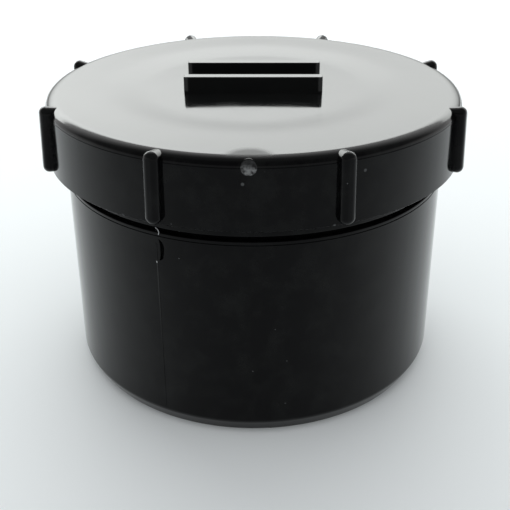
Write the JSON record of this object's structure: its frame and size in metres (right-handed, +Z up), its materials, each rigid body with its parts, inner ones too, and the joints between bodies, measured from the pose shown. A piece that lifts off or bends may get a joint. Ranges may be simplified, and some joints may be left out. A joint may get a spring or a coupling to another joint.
{
  "type": "pipe access cap",
  "caption": "Black pipe access cap: a plain round spigot closed by a dished screw lid with rounded grip ribs and upright key bars.",
  "frame": {"origin": "centre of the spigot's open lower end, on the plane that it stands on", "axes": "+Z up along the cap's axis, from the spigot to the lid; the two key bars run along X; -Y is the front, with the lid's gate scar"},
  "size_m": [0.119, 0.119, 0.0868],
  "materials": {
    "body_plastic": "glossy black moulding",
    "lid_plastic": "glossy black moulding",
    "seal_rubber": "matte"
  },
  "bodies": {
    "body": {"body": "body_plastic"},
    "lift": {"seal_ring": "seal_rubber"},
    "lid": {"screw_lid": "lid_plastic"}
  },
  "joints": [
    {"name": "lid_lift", "type": "slide", "parent": "body", "child": "lift", "axis": [0, 0, 1], "range_m": [0, 0.0161]},
    {"name": "lid_turn", "type": "hinge", "parent": "lift", "child": "lid", "pos_m": [0, 0, 0.07], "axis": [0, 0, 1], "range_deg": [0, 1152]}
  ],
  "couplings": [
    {"joint": "lid_lift", "follows": "lid_turn", "m_per_rad": 0.00079577}
  ]
}
